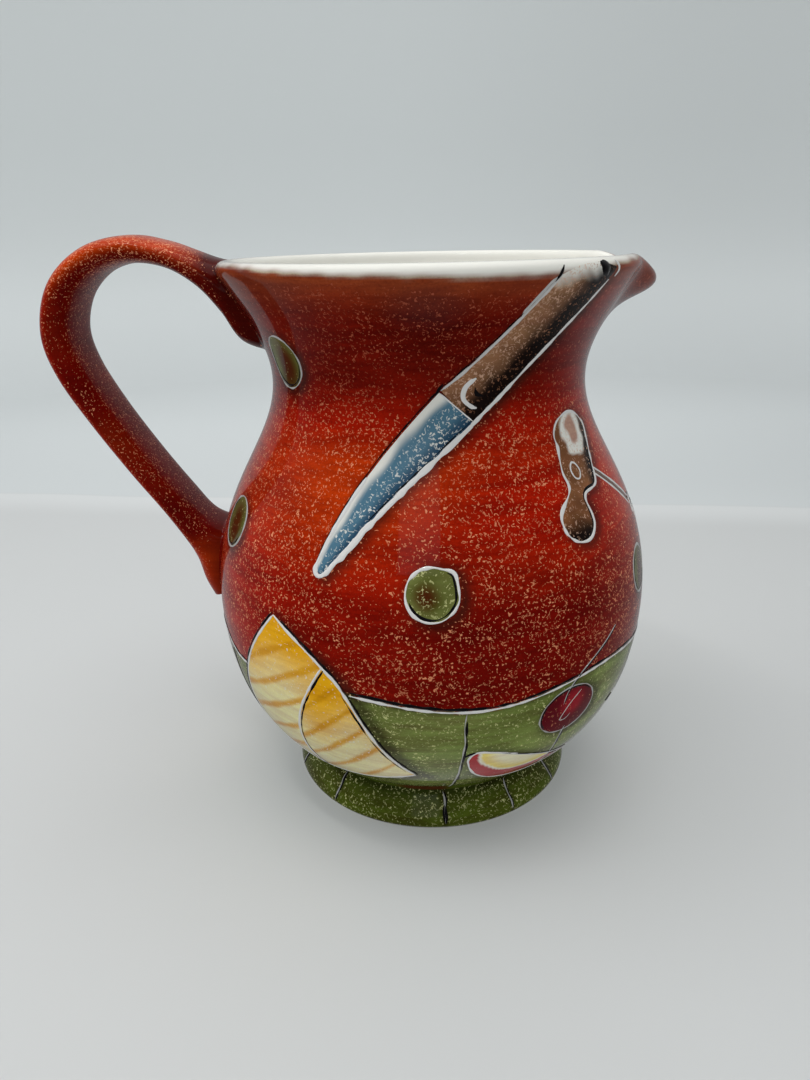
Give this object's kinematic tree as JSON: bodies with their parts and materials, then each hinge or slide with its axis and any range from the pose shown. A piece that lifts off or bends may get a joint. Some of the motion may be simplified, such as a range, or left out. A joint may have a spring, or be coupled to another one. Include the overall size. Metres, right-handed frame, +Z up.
{
  "type": "ceramic pitcher",
  "caption": "Glazed earthenware pitcher with a round belly, flared neck, small pouring spout, flared foot and a high strap handle, painted with a picnic pattern.",
  "frame": {"origin": "centre of the foot on the table", "axes": "+Z up along the axis of the round body, -X towards the handle, +X towards the spout, the side with the knife and the corkscrew faces -Y"},
  "size_m": [0.206, 0.1552, 0.1983],
  "materials": {
    "red_glaze": "orange-red brushed glaze with cream flecks, glossy",
    "green_glaze": "olive green glaze with pale flecks, glossy",
    "slip": "clay slip under the glaze"
  },
  "bodies": {
    "root": {"vessel_body": "red_glaze", "spout": "red_glaze", "foot_ring": "green_glaze", "foot_joint": "slip", "handle": "red_glaze", "upper_handle_joint": "slip", "lower_handle_joint": "slip"}
  },
  "joints": []
}
